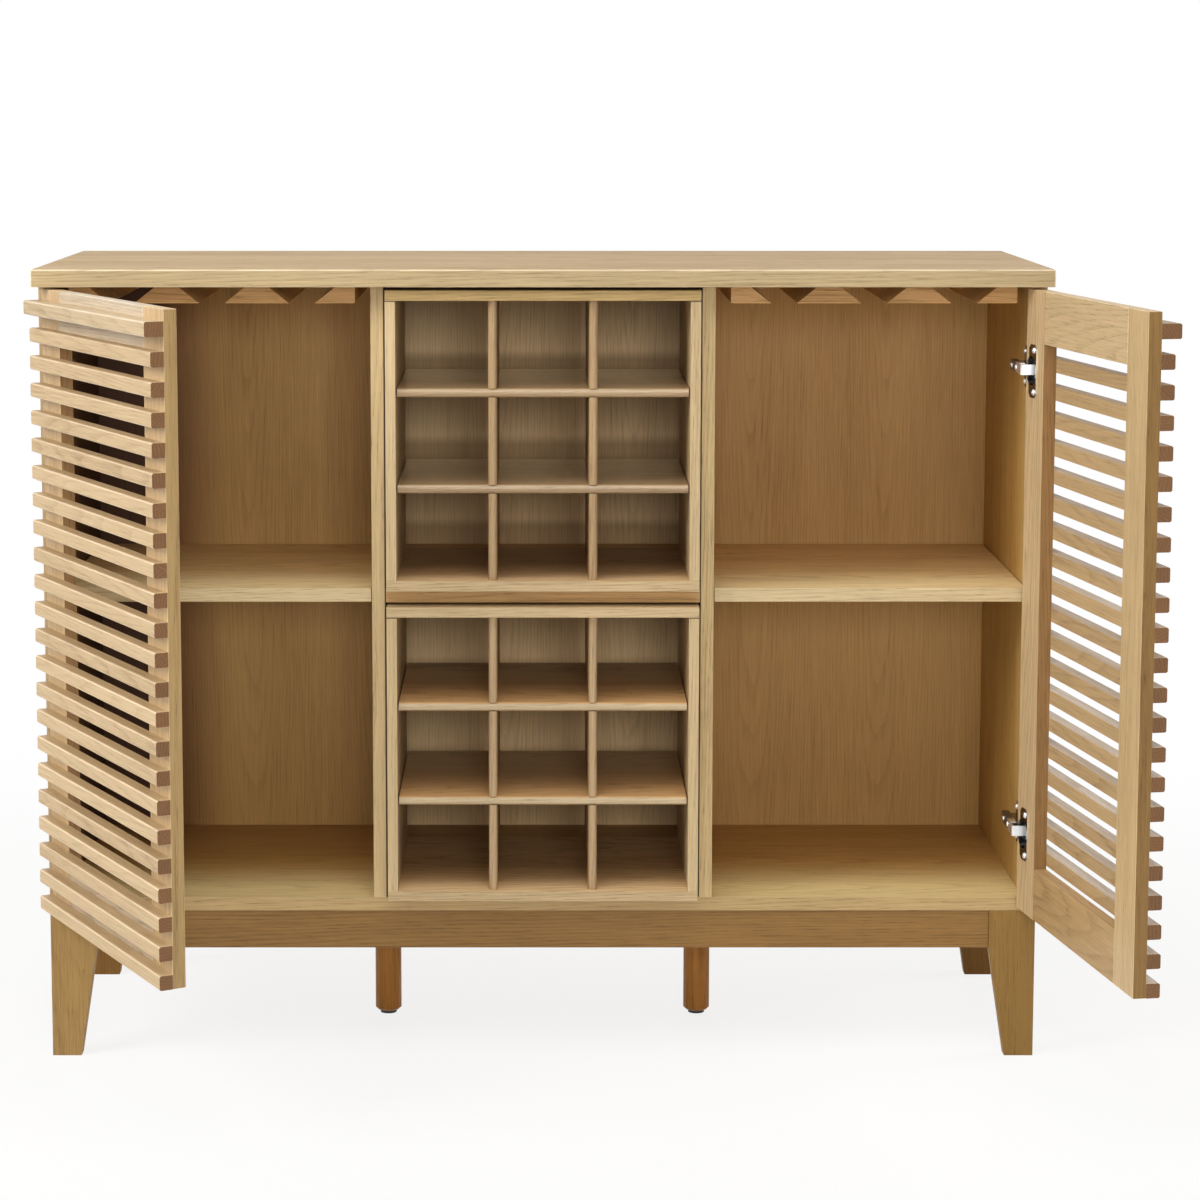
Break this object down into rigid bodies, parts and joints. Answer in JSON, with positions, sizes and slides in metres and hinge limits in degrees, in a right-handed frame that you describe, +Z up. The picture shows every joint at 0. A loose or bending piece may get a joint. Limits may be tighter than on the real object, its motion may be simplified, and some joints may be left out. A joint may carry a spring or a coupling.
{
  "type": "bar cabinet",
  "caption": "Oak bar cabinet on tapered legs, with slatted doors on concealed hinges, loose wine racks in the centre bay, side shelves and stemware rails.",
  "frame": {"origin": "on the floor, under the middle of the outer box of the cabinet with its doors as pictured", "axes": "+X across the cabinet to the viewer's right, +Y from the front to the back, +Z up"},
  "size_m": [1.2522, 0.7748, 0.932],
  "materials": {
    "oak": "natural matt oak veneer",
    "oak_slat": "natural matt oak",
    "hinge_steel": "nickel plated",
    "pin_steel": "satin",
    "glide_plastic": "matt"
  },
  "bodies": {
    "carcass": {"back_panel": "oak", "bottom_panel": "oak", "center_leg_glides": "glide_plastic", "center_shelf": "oak", "front_apron": "oak", "front_left_leg": "oak", "front_right_leg": "oak", "left_apron": "oak", "left_center_leg": "oak", "left_divider": "oak", "left_hinge_arms": "hinge_steel", "left_hinge_plates": "hinge_steel", "left_shelf": "oak", "left_side_panel": "oak", "left_stemware_rails": "oak", "rear_apron": "oak", "rear_left_leg": "oak", "rear_right_leg": "oak", "right_apron": "oak", "right_center_leg": "oak", "right_divider": "oak", "right_hinge_arms": "hinge_steel", "right_hinge_plates": "hinge_steel", "right_shelf": "oak", "right_side_panel": "oak", "right_stemware_rails": "oak", "shelf_pins": "pin_steel", "top_panel": "oak"},
    "left_door": {"left_door_bottom_rail": "oak", "left_door_free_stile": "oak", "left_door_hinge_cups": "hinge_steel", "left_door_hinge_pins": "hinge_steel", "left_door_hinge_stile": "oak", "left_door_pull_slat": "oak_slat", "left_door_slats": "oak_slat", "left_door_top_rail": "oak"},
    "right_door": {"right_door_bottom_rail": "oak", "right_door_free_stile": "oak", "right_door_hinge_cups": "hinge_steel", "right_door_hinge_pins": "hinge_steel", "right_door_hinge_stile": "oak", "right_door_pull_slat": "oak_slat", "right_door_slats": "oak_slat", "right_door_top_rail": "oak"},
    "upper_rack": {"upper_rack_bottom": "oak", "upper_rack_dividers": "oak", "upper_rack_left_side": "oak", "upper_rack_right_side": "oak", "upper_rack_shelves": "oak", "upper_rack_top": "oak"},
    "lower_rack": {"lower_rack_bottom": "oak", "lower_rack_dividers": "oak", "lower_rack_left_side": "oak", "lower_rack_right_side": "oak", "lower_rack_shelves": "oak", "lower_rack_top": "oak"}
  },
  "joints": [
    {"name": "left_door_hinge", "type": "hinge", "parent": "carcass", "child": "left_door", "pos_m": [-0.59832, -0.01356, 0.275], "axis": [0, 0, -1], "range_deg": [-62.2, 40.8]},
    {"name": "right_door_hinge", "type": "hinge", "parent": "carcass", "child": "right_door", "pos_m": [0.53472, -0.01356, 0.275], "axis": [0, 0, 1], "range_deg": [-99.8, 3.2]},
    {"name": "upper_rack_slide", "type": "slide", "parent": "carcass", "child": "upper_rack", "axis": [0, -1, 0], "range_m": [0, 0.26]},
    {"name": "lower_rack_slide", "type": "slide", "parent": "carcass", "child": "lower_rack", "axis": [0, -1, 0], "range_m": [0, 0.26]}
  ]
}
